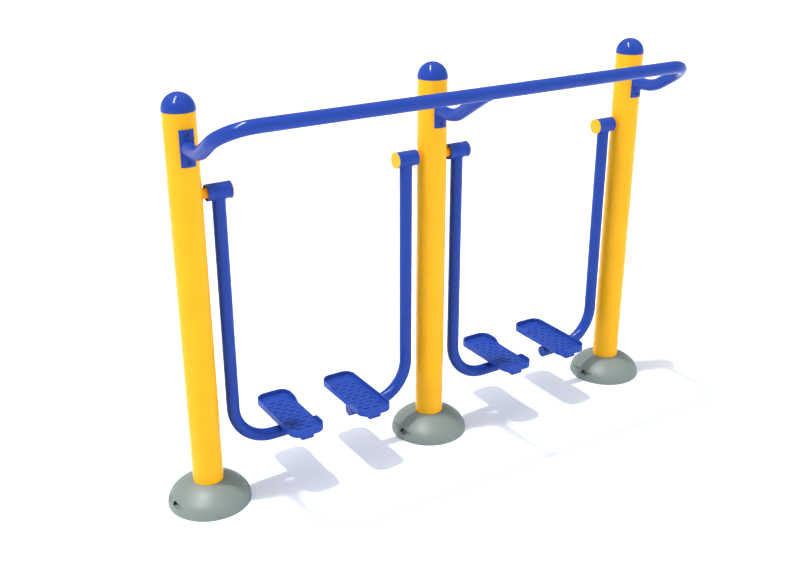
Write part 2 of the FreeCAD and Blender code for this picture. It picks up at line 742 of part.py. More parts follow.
def make_handrail():
    """One tube bent in three dimensions, which no flat sketch can hold."""
    face = value("post_diameter / 2")
    span = value("post_spacing")
    left_start = Vector(-span, -face, 0)
    right_start = Vector(span, -face, 0)
    left_neck = neck_edges(left_start, 1)
    right_neck = neck_edges(right_start, -1)
    straight = Part.LineSegment(left_neck[-1].Vertexes[-1].Point, right_neck[-1].Vertexes[-1].Point)
    route = Part.Wire(Part.__sortEdges__(left_neck + [straight.toShape()] + right_neck))
    radius = value("rail_diameter / 2")
    solids = []
    for size in (radius, radius - value("rail_wall")):
        section = Part.Wire(Part.makeCircle(size, left_start, Vector(0, -1, 0)))
        solids.append(route.makePipeShell([section], True, False))
    tube = solids[0].cut(solids[1])
    saddle = face + value("rail_plate_thickness")
    for start in (left_start, right_start):
        below = Vector(start.x, 0, -2 * radius)
        tube = tube.cut(Part.makeCylinder(saddle, 4 * radius, below))
    rail = doc.addObject("Part::Feature", "handrail")
    rail.Shape = tube
    put(rail, "handrail", z="neck_level")


def make_support_arm():
    body = new_body("rail_support_arm")
    face = "post_diameter / 2"
    path = new_sketch(body, "path", "YZ_Plane")
    outline(path, [
        (f"-{face}", "0"),
        (f"-({face} + neck_straight)", "0"),
        (
            f"-({face} + neck_straight + neck_bend_radius * sin(neck_angle))",
            "neck_bend_radius * (1 - cos(neck_angle))",
            "neck_bend_radius",
            "right",
        ),
        (f"-{RAIL_REACH}", RAIL_RISE),
    ], closed=False)
    section = tube_section(body, "XZ_Plane", face, "0", "0", "rail_diameter", "rail_wall")
    pipe(body, section, path)
    plate_face = new_sketch(body, "plate_face", "XY_Plane")
    circle(plate_face, "0", "0", f"{face} + rail_plate_thickness")
    pocket(body, plate_face, "2 * rail_diameter", both=True)
    under_rail = new_sketch(body, "under_rail", "YZ_Plane")
    circle(under_rail, f"-{RAIL_REACH}", RAIL_RISE, "rail_diameter / 2")
    pocket(body, under_rail, "2 * rail_diameter", both=True)
    put(body, "rail_support_arm", z="neck_level")


def make_rail_plate(post):
    body = new_body(post + "_rail_plate")
    saddle = new_sketch(body, "saddle", "XY_Plane", "-rail_plate_length / 2")
    half = "rail_plate_width / 2"
    inner = "(post_diameter / 2)"
    outer = "(post_diameter / 2 + rail_plate_thickness)"
    inner_y = f"-sqrt({inner}^2 - ({half})^2)"
    outer_y = f"-sqrt({outer}^2 - ({half})^2)"
    outline(saddle, [
        (f"-{half}", outer_y),
        (half, outer_y, outer, "left"),
        (half, inner_y),
        (f"-{half}", inner_y, inner, "right"),
    ])
    pad(body, saddle, "rail_plate_length")
    seats = new_sketch(body, "seats", "XZ_Plane", f"{outer} - spot_face_depth")
    holes = new_sketch(body, "holes", "XZ_Plane")
    for end in (-1, 1):
        level = f"{end} * rail_bolt_spacing / 2"
        circle(seats, "0", level, "spot_face / 2")
        circle(holes, "0", level, "rail_bolt_hole / 2")
    pocket(body, seats, "rail_plate_thickness", reverse=True)
    pocket(body, holes, "post_diameter", reverse=True)
    put(body, post + "_rail_plate", post_x(post), "0", "neck_level")


def make_rail_bolts():
    bolt = new_body("rail_bolt_pattern")
    profile = new_sketch(bolt, "profile", "XZ_Plane")
    dome = "((rail_bolt_head / 2)^2 + rail_bolt_head_height^2) / (2 * rail_bolt_head_height)"
    outline(profile, [
        ("0", "-rail_bolt_length"),
        ("rail_bolt / 2", "-rail_bolt_length"),
        ("rail_bolt / 2", "0"),
        ("rail_bolt_head / 2", "0"),
        ("0", "rail_bolt_head_height", dome, "left"),
    ])
    revolve(bolt, profile, "V_Axis")
    socket = new_sketch(bolt, "socket", "XY_Plane", "rail_bolt_head_height")
    hexagon(socket, "rail_bolt_socket")
    pocket(bolt, socket, "rail_bolt_head_height * 0.6")
    nut = new_body("weld_nut_pattern")
    flats = new_sketch(nut, "flats", "XY_Plane")
    hexagon(flats, "weld_nut_width")
    circle(flats, "0", "0", "rail_bolt / 2")
    pad(nut, flats, "weld_nut_height")
    seat = "-(post_diameter / 2 + rail_plate_thickness - spot_face_depth)"
    bore = "(post_diameter / 2 - post_wall)"
    nut_seat = f"-sqrt({bore}^2 - (weld_nut_width / sqrt(3))^2)"
    bolts = []
    nuts = []
    for post in POSTS:
        for end in (-1, 1):
            level = f"neck_level + {end} * rail_bolt_spacing / 2"
            bolts.append((post_x(post), seat, level, FRONT))
            nuts.append((post_x(post), nut_seat, level, REAR))
    put_group("rail_plate_bolts", bolt, bolts)
    put_group("rail_weld_nuts", nut, nuts)


# Axles and what turns on them

# Places along the axle, from the post's axis outwards.
HUB_START = "(hub_offset - hub_length / 2)"
INNER_BEARING = f"({HUB_START} + bearing_recess)"
SPACER = f"({INNER_BEARING} + bearing_width)"
OUTER_BEARING = f"({SPACER} + bearing_spacing)"
WASHER = f"({OUTER_BEARING} + bearing_width)"
AXLE_NUT = f"({WASHER} + washer_thickness)"
AXLE_TIP = f"({WASHER} + axle_thread_length)"


def journal_corners(side):
    """Outline of the axle outside the post, from the stub to the tip, above the axis."""
    steps = [
        (f"{INNER_BEARING} - axle_collar_length", "axle_diameter / 2"),
        (f"{INNER_BEARING} - axle_collar_length", "axle_collar_diameter / 2"),
        (INNER_BEARING, "axle_collar_diameter / 2"),
        (INNER_BEARING, "bearing_bore / 2"),
        (f"{WASHER} - axle_relief", "bearing_bore / 2"),
        (f"{WASHER} - axle_relief", "axle_thread / 2"),
        (AXLE_TIP, "axle_thread / 2"),
        (AXLE_TIP, "0"),
    ]
    return [(f"{side} * ({x})", y) for x, y in steps]


def make_axle(post):
    """A stepped bar welded into the post: through it in the middle, to the far wall at the ends."""
    body = new_body(post + "_axle")
    sides = [side for its_post, side in LEGS.values() if its_post == post]
    profile = new_sketch(body, "profile", "XZ_Plane")
    if len(sides) == 2:
        outline(profile, list(reversed(journal_corners(1))) + journal_corners(-1))
    else:
        bore = "(post_diameter / 2 - post_wall)"
        root = f"{-sides[0]} * (sqrt({bore}^2 - (axle_diameter / 2)^2) - axle_end_gap)"
        outline(profile, [(root, "0"), (root, "axle_diameter / 2")] + journal_corners(sides[0]))
    revolve(body, profile, "H_Axis")
    put(body, post + "_axle", post_x(post), "0", "hub_level")


def ring_pattern(name, outer, inner, length):
    """A plain ring about X that starts at the origin."""
    body = new_body(name)
    section = new_sketch(body, "section", "YZ_Plane")
    circle(section, "0", "0", f"{outer} / 2")
    circle(section, "0", "0", f"{inner} / 2")
    pad(body, section, length)
    return body


def on_axles(distance):
    """Places on all four axles, at a distance from the post's axis."""
    return [(from_post(post, side, distance), "0", "hub_level", facing(side)) for post, side in LEGS.values()]


def make_axle_pieces():
    inner_ring = ring_pattern("inner_ring_pattern", "inner_ring_diameter", "bearing_bore", "bearing_width")
    put_group("bearing_inner_rings", inner_ring, on_axles(INNER_BEARING) + on_axles(OUTER_BEARING))
    spacer = ring_pattern("spacer_pattern", "spacer_diameter", "bearing_bore", "bearing_spacing")
    put_group("bearing_spacers", spacer, on_axles(SPACER))
    washer = ring_pattern("washer_pattern", "washer_diameter", "washer_bore", "washer_thickness")
    put_group("axle_washers", washer, on_axles(WASHER))
    nut = new_body("axle_nut_pattern")
    flats = new_sketch(nut, "flats", "YZ_Plane")
    hexagon(flats, "axle_nut_width")
    circle(flats, "0", "0", "axle_thread / 2")
    pad(nut, flats, "axle_nut_height")
    put_group("axle_nuts", nut, on_axles(AXLE_NUT))


def outer_ring_pattern():
    """A bearing's outer ring with the shield at each face, about X."""
    body = new_body("outer_ring_pattern")
    profile = new_sketch(body, "profile", "XZ_Plane")
    outer = "bearing_diameter / 2"
    bore = "outer_ring_bore / 2"
    lip = "inner_ring_diameter / 2 + shield_gap"
    near = "shield_recess"
    far = "bearing_width - shield_recess"
    outline(profile, [
        ("0", outer),
        ("0", bore),
        (near, bore),
        (near, lip),
        (f"{near} + shield_thickness", lip),
        (f"{near} + shield_thickness", bore),
        (f"{far} - shield_thickness", bore),
        (f"{far} - shield_thickness", lip),
        (far, lip),
        (far, bore),
        ("bearing_width", bore),
        ("bearing_width", outer),
    ])
    revolve(body, profile, "H_Axis")
    return body


def make_hub(leg):
    """Hub tube with a bearing seat turned in from each end."""
    post, side = LEGS[leg]
    body = new_body(leg + "_hub")
    profile = new_sketch(body, "profile", "XZ_Plane")
    start = "-hub_length / 2"
    end = "hub_length / 2"
    first_shoulder = f"{start} + bearing_recess + bearing_width"
    second_shoulder = f"{first_shoulder} + bearing_spacing"
    outline(profile, [
        (start, "hub_diameter / 2"),
        (start, "bearing_diameter / 2"),
        (first_shoulder, "bearing_diameter / 2"),
        (first_shoulder, "hub_bore / 2"),
        (second_shoulder, "hub_bore / 2"),
        (second_shoulder, "bearing_diameter / 2"),
        (end, "bearing_diameter / 2"),
        (end, "hub_diameter / 2"),
    ])
    revolve(body, profile, "H_Axis")
    put(body, leg + "_hub", from_post(post, side, "hub_offset"), "0", "hub_level", facing(side))


def make_hub_cap(leg):
    post, side = LEGS[leg]
    body = new_body(leg + "_hub_cap")
    profile = new_sketch(body, "profile", "XZ_Plane")
    rim = "(hub_cap_diameter / 2)"
    skirt = "(bearing_diameter / 2 - hub_cap_gap)"
    outline(profile, [
        ("0", "0"),
        ("hub_cap_thickness", "0"),
        ("hub_cap_thickness", f"{rim} - hub_cap_edge"),
        ("hub_cap_thickness - hub_cap_edge", rim, "hub_cap_edge", "left"),
        ("0", rim),
        ("0", skirt),
        ("-hub_cap_skirt", skirt),
        ("-hub_cap_skirt", f"{skirt} - hub_cap_wall"),
        ("0", f"{skirt} - hub_cap_wall"),
    ])
    revolve(body, profile, "H_Axis")
    place = from_post(post, side, "hub_offset + hub_length / 2")
    put(body, leg + "_hub_cap", place, "0", "hub_level", facing(side))


def make_leg_tube(leg):
    """The J: down from the hub, a wide bend, and a level run whose end is closed by a welded disc."""
    post, side = LEGS[leg]
    body = new_body(leg + "_leg")
    drop = "(hub_level - leg_foot_level)"
    path = new_sketch(body, "path", "XZ_Plane")
    outline(path, [
        ("hub_offset", "0"),
        ("hub_offset", f"leg_bend_radius - {drop}"),
        ("hub_offset + leg_bend_radius", f"-{drop}", "leg_bend_radius", "left"),
        ("leg_end", f"-{drop}"),
    ], closed=False)
    section = tube_section(body, "XY_Plane", "0", "hub_offset", "0", "leg_diameter", "leg_wall")
    pipe(body, section, path)
    under_hub = new_sketch(body, "under_hub", "YZ_Plane")
    circle(under_hub, "0", "0", "hub_diameter / 2")
    pocket(body, under_hub, "2 * (hub_offset + leg_diameter)", both=True)
    end_disc = new_sketch(body, "end_disc", "YZ_Plane", "leg_end")
    circle(end_disc, "0", f"-{drop}", "leg_diameter / 2 - leg_wall / 2")
    pad(body, end_disc, "leg_end_wall", reverse=True)
    put(body, leg + "_leg", post_x(post), "0", "hub_level", facing(side))


# Pedals

BRACKET_BASE = "(leg_foot_level + leg_diameter / 2 - bracket_bite)"
BRACKET_TOP = f"({BRACKET_BASE} + bracket_depth)"
PEDAL_FLOOR_TOP = "(pedal_rib_depth + pedal_floor)"


def make_bracket(leg):
    """A channel with closed ends, open below, that sits over the leg's level run."""
    post, side = LEGS[leg]
    body = new_body(leg + "_pedal_bracket")
    block = new_sketch(body, "block", "XY_Plane")
    rectangle(block, "0", "0", "bracket_width", "bracket_length")
    pad(body, block, "bracket_depth")
    inside = new_sketch(body, "inside", "XY_Plane")
    rectangle(inside, "0", "0", "bracket_width - 2 * bracket_wall", "bracket_length - 2 * bracket_wall")
    pocket(body, inside, "bracket_depth - bracket_wall", reverse=True)
    saddle = new_sketch(body, "saddle", "YZ_Plane")
    circle(saddle, "-pedal_shift", "bracket_bite - leg_diameter / 2", "leg_diameter / 2")
    pocket(body, saddle, "2 * bracket_width", both=True)
    holes = new_sketch(body, "holes", "XY_Plane", "bracket_depth")
    for end in (-1, 1):
        circle(holes, "0", f"{end} * pedal_bolt_spacing / 2", "pedal_bolt_hole / 2")
    pocket(body, holes, "2 * bracket_wall")
    top = edge_at_level("bracket_depth")
    outside = value("bracket_width / 2")
    dress(body, "Fillet", "bracket_fold",
          lambda edge: top(edge) and edge.BoundBox.XLength < 1e-4
          and abs(abs(edge.BoundBox.XMax) - outside) < 1e-4)
    place = from_post(post, side, "pedal_offset")
    put(body, leg + "_pedal_bracket", place, "pedal_shift", BRACKET_BASE)


def add_underside(body):
    """Hollow under the floor, with ribs that stand on the bracket and bosses for the bolts."""
    inside = "(pedal_width - 2 * pedal_wall)"
    hollow = new_sketch(body, "hollow", "XY_Plane")
    rounded_rectangle(hollow, inside, "pedal_length - 2 * pedal_wall", "pedal_corner - pedal_wall")
    pocket(body, hollow, "pedal_rib_depth", reverse=True)
    for end in (-1, 1):
        long_rib = new_sketch(body, "long_rib", "XY_Plane")
        rectangle(long_rib, f"{end} * pedal_rib_offset", "0", "pedal_rib_width", "pedal_length - 2 * pedal_wall")
        pad(body, long_rib, "pedal_rib_depth")
    cross_rib = new_sketch(body, "cross_rib", "XY_Plane")
    first = f"-{CROSS_RIBS - 1} / 2 * pedal_rib_pitch"
    rectangle(cross_rib, "0", first, inside, "pedal_rib_width")
    rib = pad(body, cross_rib, "pedal_rib_depth")
    repeat(body, rib, "Y_Axis", f"{CROSS_RIBS - 1} * pedal_rib_pitch", CROSS_RIBS)
    bosses = new_sketch(body, "bosses", "XY_Plane")
    holes = new_sketch(body, "holes", "XY_Plane")
    for end in (-1, 1):
        circle(bosses, "0", f"{end} * pedal_bolt_spacing / 2", "pedal_boss / 2")
        circle(holes, "0", f"{end} * pedal_bolt_spacing / 2", "pedal_bolt / 2")
    pad(body, bosses, "pedal_rib_depth")
    pocket(body, holes, "pedal_bolt_grip", reverse=True)


def add_cleats(body, side, columns, rows):
    """Rows of cleats, every second row of the floor, centred over the leg."""
    cleats = new_sketch(body, "cleats", "XY_Plane", PEDAL_FLOOR_TOP)
    first = f"-({side}) * pedal_shift - {rows - 1} * cleat_row_pitch"
    for column in range(columns):
        x = f"{column - (columns - 1) / 2} * cleat_column_pitch"
        slot(cleats, x, first, "cleat_length", "cleat_width")
    row = pad(body, cleats, "cleat_height")
    repeat(body, row, "Y_Axis", f"{2 * (rows - 1)} * cleat_row_pitch", rows)


def dip_corners():
    """Outline of what the dip takes out of the rim: two slopes, rounded where they start and end."""
    foot = "(dip_length / 2)"
    head = "(dip_length / 2 + (pedal_rise - dip_level) / tan(dip_angle))"
    flat = "dip_round * tan(dip_angle / 2)"
    along = f"{flat} * cos(dip_angle)"
    up = f"{flat} * sin(dip_angle)"
    right = [
        (f"{foot} - {flat}", "dip_level"),
        (f"{foot} + {along}", f"dip_level + {up}", "dip_round", "left"),
        (f"{head} - {along}", f"pedal_rise - {up}"),
        (f"{head} + {flat}", "pedal_rise", "dip_round", "right"),
    ]
    above = [(f"{head} + {flat}", "2 * pedal_rise"), (f"-({head} + {flat})", "2 * pedal_rise")]
    left = [
        (f"-({head} + {flat})", "pedal_rise"),
        (f"-({head} - {along})", f"pedal_rise - {up}", "dip_round", "right"),
        (f"-({foot} + {along})", f"dip_level + {up}"),
        (f"-({foot} - {flat})", "dip_level", "dip_round", "left"),
    ]
    return right + above + left


def outer_rim_edge():
    """A test for the edges along the top of the rim, on the pedal's outside."""
    low = value("dip_level")
    corner = value("pedal_corner")
    x_core = value("pedal_width / 2") - corner
    y_core = value("pedal_length / 2") - corner

    def test(edge):
        place = edge.valueAt((edge.FirstParameter + edge.LastParameter) / 2)
        beyond = math.hypot(max(abs(place.x) - x_core, 0), max(abs(place.y) - y_core, 0))
        upright = edge.BoundBox.XLength < 1e-4 and edge.BoundBox.YLength < 1e-4
        return abs(beyond - corner) < 1e-3 and edge.BoundBox.ZMin > low - 1e-3 and not upright
    return test


def make_pedal(leg):
    """A cast tray whose rim dips on the side that faces the other pedal."""
    post, side = LEGS[leg]
    body = new_body(leg + "_pedal")
    block = new_sketch(body, "block", "XY_Plane")
    rounded_rectangle(block, "pedal_width", "pedal_length", "pedal_corner")
    pad(body, block, "pedal_rise")
    tray = new_sketch(body, "tray", "XY_Plane", "pedal_rise")
    inside = "pedal_width - 2 * pedal_wall"
    rounded_rectangle(tray, inside, "pedal_length - 2 * pedal_wall", "pedal_corner - pedal_wall")
    pocket(body, tray, f"pedal_rise - {PEDAL_FLOOR_TOP}")
    dress(body, "Fillet", "pedal_cove", edge_at_level(PEDAL_FLOOR_TOP))
    dip = new_sketch(body, "dip", "YZ_Plane", "pedal_width / 2 - pedal_wall - pedal_cove / 2")
    outline(dip, dip_corners())
    pocket(body, dip, "pedal_width / 4", reverse=True)
    dress(body, "Fillet", "rim_round", outer_rim_edge())
    add_underside(body)
    add_cleats(body, side, 2, (CLEAT_ROWS + 1) // 2)
    add_cleats(body, side, 3, CLEAT_ROWS // 2)
    place = from_post(post, side, "pedal_offset")
    put(body, leg + "_pedal", place, "pedal_shift", BRACKET_TOP, facing(side))


def pedal_bolt_pattern():
    """A hexagon bolt with its head below the bracket's plate."""
    body = new_body("pedal_bolt_pattern")
    head = new_sketch(body, "head", "XY_Plane")
    hexagon(head, "pedal_bolt_width")
    pad(body, head, "pedal_bolt_head", reverse=True)
    shank = new_sketch(body, "shank", "XY_Plane")
    circle(shank, "0", "0", "pedal_bolt / 2")
    pad(body, shank, "bracket_wall + pedal_bolt_grip")
    return body


def make_pedal_bolts(leg, bolt):
    post, side = LEGS[leg]
    place = from_post(post, side, "pedal_offset")
    seat = f"{BRACKET_TOP} - bracket_wall"
    places = [(place, f"pedal_shift + {end} * pedal_bolt_spacing / 2", seat, Rotation()) for end in (-1, 1)]
    put_group(leg + "_pedal_bolts", bolt, places)


def make_frame():
    for post in POSTS:
        make_post(post)
        make_post_cap(post)
        make_base_plate(post)
        make_base_cover(post, "front")
        make_base_cover(post, "rear")
        make_rail_plate(post)
        make_axle(post)
    make_gussets()
    make_cover_screws()
    make_handrail()
    make_support_arm()
    make_rail_bolts()
    make_axle_pieces()


def make_legs():
    outer_ring = outer_ring_pattern()
    bolt = pedal_bolt_pattern()
    for leg, (post, side) in LEGS.items():
        make_hub(leg)
        seats = [
            (from_post(post, side, distance), "0", "hub_level", facing(side))
            for distance in (INNER_BEARING, OUTER_BEARING)
        ]
        put_group(leg + "_bearing_outer_rings", outer_ring, seats)
        make_hub_cap(leg)
        make_leg_tube(leg)
        make_bracket(leg)
        make_pedal(leg)
        make_pedal_bolts(leg, bolt)


def check_and_write():
    """Stop if any object failed, then write each sub-part to its own file."""
    doc.recompute()
    for item in doc.Objects:
        if {"Invalid", "Error"} & set(item.State):
            raise RuntimeError(f"{item.Name} failed: {item.State}")
    os.makedirs("parts", exist_ok=True)
    for name, item in parts.items():
        shape = item.Shape
        if shape.isNull() or not shape.isValid() or not shape.Solids:
            raise RuntimeError(f"{name} has no sound solid")
        shape.exportStep(f"parts/{name}.step")
    print(len(parts), "sub-parts written")


fill_sheet()
make_frame()
make_legs()
check_and_write()
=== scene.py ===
import json
import math

import bmesh
import bpy
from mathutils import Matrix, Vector


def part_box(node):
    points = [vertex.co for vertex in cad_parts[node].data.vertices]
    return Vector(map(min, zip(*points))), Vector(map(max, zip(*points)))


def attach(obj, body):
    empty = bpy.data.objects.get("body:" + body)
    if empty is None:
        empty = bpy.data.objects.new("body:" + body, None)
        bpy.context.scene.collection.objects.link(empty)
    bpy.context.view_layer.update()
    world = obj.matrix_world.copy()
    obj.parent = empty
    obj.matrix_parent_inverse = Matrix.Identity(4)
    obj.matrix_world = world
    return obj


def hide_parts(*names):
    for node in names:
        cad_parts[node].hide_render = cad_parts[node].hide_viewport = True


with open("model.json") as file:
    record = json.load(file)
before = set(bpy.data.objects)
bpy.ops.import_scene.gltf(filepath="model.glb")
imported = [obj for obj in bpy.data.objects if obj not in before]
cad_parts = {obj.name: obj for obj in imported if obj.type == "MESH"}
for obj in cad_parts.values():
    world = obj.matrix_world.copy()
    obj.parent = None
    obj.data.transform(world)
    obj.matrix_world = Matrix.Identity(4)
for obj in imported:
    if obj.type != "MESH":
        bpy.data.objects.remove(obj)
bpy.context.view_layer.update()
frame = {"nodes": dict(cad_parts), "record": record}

MM = 0.001
X = Vector((1, 0, 0))
Y = Vector((0, 1, 0))
Z = Vector((0, 0, 1))

YELLOW = (0.775, 0.380, 0.008)
# Painted shade: the posts' yellow, made deeper and more orange for the axle stubs, which sit in the shade
# of hub and post.
AXLE_YELLOW_PAINTED_SHADE = (0.720, 0.270, 0.003)
BLUE = (0.0150, 0.0460, 0.270)
# Painted light: the legs' blue, made lighter on the pedals to stand in for the light on their upturned
# floors.
PEDAL_BLUE_PAINTED_LIGHT = (0.0180, 0.0550, 0.315)
# Painted shade: the plates' blue, darkened on the plate bolts to stand in for the shade in their sockets.
BOLT_BLUE_PAINTED_SHADE = (0.010, 0.030, 0.150)
COVER_GREY = (0.157, 0.190, 0.174)
BARE_STEEL = (0.52, 0.53, 0.54)
BLACK_OXIDE = (0.020, 0.020, 0.021)
SEAL_RUBBER = (0.012, 0.012, 0.013)
FLOOR_PALE = (0.82, 0.87, 0.97)

# Specular level of the gloss paints, under the shader's usual 0.5.
PAINT_SPECULAR = 0.13

POSTS = ("left", "middle", "right")

# Each leg: its post, and the side of the post that it stands on.
LEGS = {
    "station_1_left": ("left", 1),
    "station_1_right": ("middle", -1),
    "station_2_left": ("middle", 1),
    "station_2_right": ("right", -1),
}


def middle(node):
    low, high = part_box(node)
    return (low + high) / 2


def size(node):
    low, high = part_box(node)
    return high - low


# Materials


class Surface:
    """A material under construction: a principled shader, and the nodes that feed it."""

    def __init__(self, name, colour, roughness, **settings):
        self.material = bpy.data.materials.new(name)
        self.material.use_nodes = True
        self.tree = self.material.node_tree
        self.shader = self.tree.nodes["Principled BSDF"]
        self.shader.inputs["Base Color"].default_value = (*colour, 1)
        self.shader.inputs["Roughness"].default_value = roughness
        for socket, number in settings.items():
            self.shader.inputs[socket.replace("_", " ")].default_value = number
        self.place = self.add("ShaderNodeTexCoord").outputs["Object"]
        self.normal = None

    def add(self, kind, **sockets):
        """A node whose inputs are set or linked by name."""
        node = self.tree.nodes.new(kind)
        for name, source in sockets.items():
            self.feed(node.inputs[name.replace("_", " ")], source)
        return node

    def feed(self, socket, source):
        if isinstance(source, bpy.types.NodeSocket):
            self.tree.links.new(source, socket)
        else:
            socket.default_value = source

    def maths(self, operation, first, second=0.0):
        node = self.tree.nodes.new("ShaderNodeMath")
        node.operation = operation
        self.feed(node.inputs[0], first)
        self.feed(node.inputs[1], second)
        return node.outputs[0]

    def noise(self, scale, detail=2.0, roughness=0.5):
        return self.add("ShaderNodeTexNoise", Vector=self.place, Scale=scale, Detail=detail,
                        Roughness=roughness).outputs["Fac"]

    def cells(self, scale):
        """Colour that differs from cell to cell, as a grey level."""
        node = self.add("ShaderNodeTexVoronoi", Vector=self.place, Scale=scale)
        return self.add("ShaderNodeSeparateColor", Color=node.outputs["Color"]).outputs[0]

    def openness(self, reach):
        """1 where nothing of the same piece is near, and less in corners within a reach."""
        node = self.tree.nodes.new("ShaderNodeAmbientOcclusion")
        node.only_local = True
        node.inputs["Distance"].default_value = reach
        return node.outputs["AO"]

    def spread(self, source, low, high, from_low=0.3, from_high=0.7):
        """The source, which runs between two levels, stretched to run from low to high."""
        node = self.add("ShaderNodeMapRange", Value=source, From_Min=from_low, From_Max=from_high,
                        To_Min=low, To_Max=high)
        return node.outputs["Result"]

    def blend(self, amount, first, second):
        """The first colour where amount is 0, the second where it is 1."""
        node = self.tree.nodes.new("ShaderNodeMix")
        node.data_type = "RGBA"
        self.feed(node.inputs[0], amount)
        self.feed(node.inputs[6], first)
        self.feed(node.inputs[7], second)
        return node.outputs[2]

    def colour(self, source):
        self.feed(self.shader.inputs["Base Color"], source)

    def roughness(self, source):
        self.feed(self.shader.inputs["Roughness"], source)

    def bump(self, height, depth):
        """Relief of a depth in metres, on top of what is there already."""
        node = self.add("ShaderNodeBump", Height=height, Distance=depth)
        if self.normal is not None:
            self.feed(node.inputs["Normal"], self.normal)
        self.normal = node.outputs["Normal"]
        self.feed(self.shader.inputs["Normal"], self.normal)


def shade(colour, factor):
    return (*(channel * factor for channel in colour), 1)


def powder_coat(name, colour, peel=0.012 * MM, roughness=0.16):
    """New gloss powder coat: the waviness of orange peel, and faint thick and thin places."""
    surface = Surface(name, colour, roughness, Specular_IOR_Level=PAINT_SPECULAR)
    cloud = surface.spread(surface.noise(7.0, detail=3.0), 0.0, 1.0)
    surface.colour(surface.blend(cloud, shade(colour, 0.965), shade(colour, 1.03)))
    surface.roughness(surface.spread(surface.noise(60.0, detail=4.0), roughness - 0.03, roughness + 0.04))
    surface.bump(surface.noise(420.0, detail=2.0), peel)
    surface.bump(surface.noise(90.0, detail=1.0), peel * 2)
    return surface.material


def cast_coat(name, colour):
    """The same paint over a casting: the mould's grit shows through, and painted shade darkens the corners
    by the rim and the foot of the cleats.
    """
    surface = Surface(name, colour, 0.16, Specular_IOR_Level=PAINT_SPECULAR)
    cloud = surface.spread(surface.noise(12.0, detail=4.0), 0.0, 1.0)
    paint = surface.blend(cloud, shade(colour, 0.93), shade(colour, 1.04))
    # Painted shade: darker where the casting hems itself in, by the rim and at the sides of the cleats.
    painted_corner_shade = surface.spread(surface.openness(12 * MM), 0.8, 0.0, from_low=0.5, from_high=0.88)
    surface.colour(surface.blend(painted_corner_shade, paint, shade(colour, 0.15)))
    surface.roughness(surface.spread(surface.noise(110.0, detail=5.0, roughness=0.6), 0.12, 0.21))
    surface.bump(surface.noise(700.0, detail=3.0), 0.03 * MM)
    surface.bump(surface.noise(160.0, detail=2.0), 0.04 * MM)
    return surface.material


def moulded_cover(name):
    """Satin moulded shell with a fine grain."""
    surface = Surface(name, COVER_GREY, 0.46, Specular_IOR_Level=0.3)
    cloud = surface.spread(surface.noise(14.0, detail=4.0, roughness=0.6), 0.0, 1.0)
    flow = surface.blend(cloud, shade(COVER_GREY, 0.97), shade(COVER_GREY, 1.025))
    speck = surface.spread(surface.cells(1500.0), 0.0, 0.06, from_low=0.86, from_high=1.0)
    surface.colour(surface.blend(speck, flow, shade(COVER_GREY, 0.7)))
    surface.roughness(surface.spread(surface.noise(40.0, detail=3.0), 0.42, 0.51))
    surface.bump(surface.noise(1300.0, detail=2.0), 0.03 * MM)
    return surface.material


def black_oxide(name):
    """Blackened socket screws, with an oily patchiness."""
    surface = Surface(name, BLACK_OXIDE, 0.42, Metallic=0.6)
    oil = surface.spread(surface.noise(300.0, detail=4.0, roughness=0.6), 0.0, 1.0)
    surface.colour(surface.blend(oil, shade(BLACK_OXIDE, 0.8), shade(BLACK_OXIDE, 1.5)))
    surface.roughness(surface.spread(oil, 0.34, 0.5, from_low=0.0, from_high=1.0))
    surface.bump(surface.noise(1800.0, detail=2.0), 0.02 * MM)
    return surface.material


def moulded_gloss(name, colour):
    """Smooth injection-moulded cap with faint flow marks."""
    surface = Surface(name, colour, 0.22, Specular_IOR_Level=0.15)
    flow = surface.spread(surface.noise(30.0, detail=2.0), 0.0, 1.0)
    surface.colour(surface.blend(flow, shade(colour, 0.96), shade(colour, 1.03)))
    surface.roughness(surface.spread(surface.noise(120.0, detail=3.0), 0.17, 0.26))
    surface.bump(surface.noise(260.0, detail=1.0), 0.03 * MM)
    return surface.material


def spangled_zinc(name):
    """Hot-dip galvanised plate with its crystal spangle and dull patches."""
    surface = Surface(name, BARE_STEEL, 0.42, Metallic=1.0)
    spangle = surface.cells(140.0)
    surface.colour(surface.blend(spangle, shade(BARE_STEEL, 0.78), shade(BARE_STEEL, 1.12)))
    surface.roughness(surface.spread(spangle, 0.32, 0.56, from_low=0.0, from_high=1.0))
    surface.bump(surface.noise(300.0, detail=3.0), 0.05 * MM)
    return surface.material


def turned_steel(name, brightness, roughness):
    """Plated or stainless fasteners with fine turning marks and handling stains."""
    colour = tuple(channel * brightness for channel in BARE_STEEL)
    surface = Surface(name, colour, roughness, Metallic=1.0)
    stain = surface.spread(surface.noise(240.0, detail=4.0, roughness=0.6), 0.0, 1.0)
    surface.colour(surface.blend(stain, shade(colour, 0.86), shade(colour, 1.1)))
    surface.roughness(surface.spread(surface.noise(500.0, detail=2.0), roughness - 0.07, roughness + 0.09))
    surface.bump(surface.noise(1600.0, detail=2.0), 0.02 * MM)
    return surface.material


